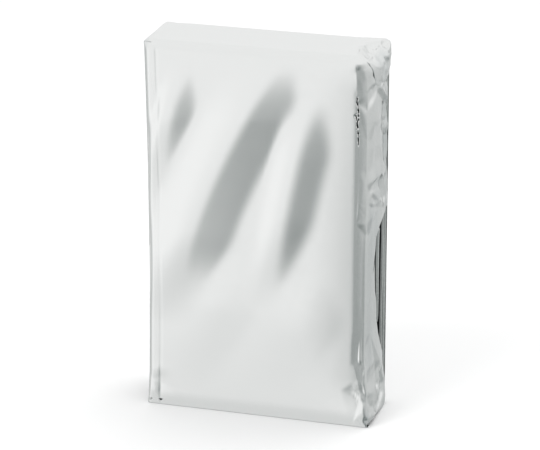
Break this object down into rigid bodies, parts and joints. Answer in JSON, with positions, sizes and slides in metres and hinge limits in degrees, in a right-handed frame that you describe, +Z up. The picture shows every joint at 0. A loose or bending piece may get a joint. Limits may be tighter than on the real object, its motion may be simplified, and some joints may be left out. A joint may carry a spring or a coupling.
{
  "type": "folded emergency sleeping bag",
  "caption": "Emergency sleeping bag of silver metallised film, folded back and forth into a flat upright pack with a smooth cover and its edges closed round one side.",
  "frame": {"origin": "middle of the pack's footprint, on the surface it stands on", "axes": "+Z up the pack's height, +X across its front to the side that its margin turns round, +Y from its front to its back"},
  "size_m": [0.1197, 0.0406, 0.2],
  "materials": {
    "silver_film": "thin polyester film, metallised silver, satin to bright, softly creased"
  },
  "bodies": {
    "root": {"folded_bag": "silver_film"}
  },
  "joints": []
}
